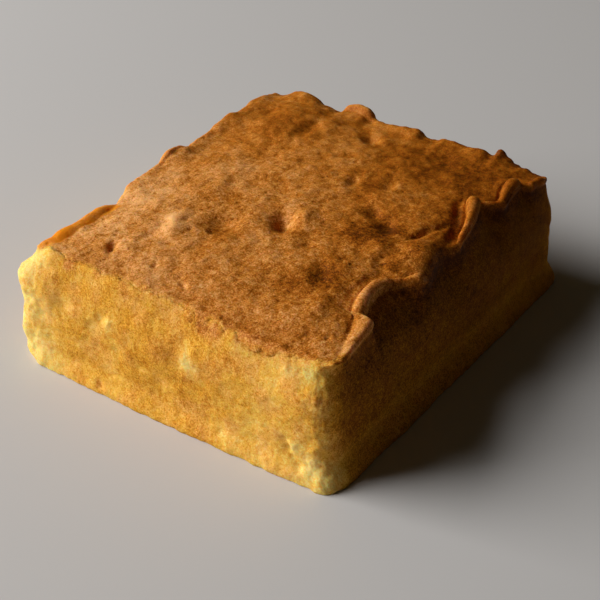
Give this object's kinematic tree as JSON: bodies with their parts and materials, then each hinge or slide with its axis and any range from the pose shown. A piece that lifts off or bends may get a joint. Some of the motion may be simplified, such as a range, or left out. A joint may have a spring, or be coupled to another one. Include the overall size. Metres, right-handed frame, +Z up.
{
  "type": "butter cake",
  "caption": "Thick oblong butter cake turned out of its tin, with a domed brown crust, a ruffled rim and golden crumb sides, flat underneath.",
  "frame": {"origin": "middle of the flat underside", "axes": "+X to the long ruffled side, -Y to the plain front side, +Z up through the crust"},
  "size_m": [0.1768, 0.2057, 0.0668],
  "materials": {
    "cake": "matt baked crumb, a toasted brown crust on top and golden yellow sides; matte plastic stands in for it"
  },
  "bodies": {
    "root": {"butter_cake": "cake"}
  },
  "joints": []
}
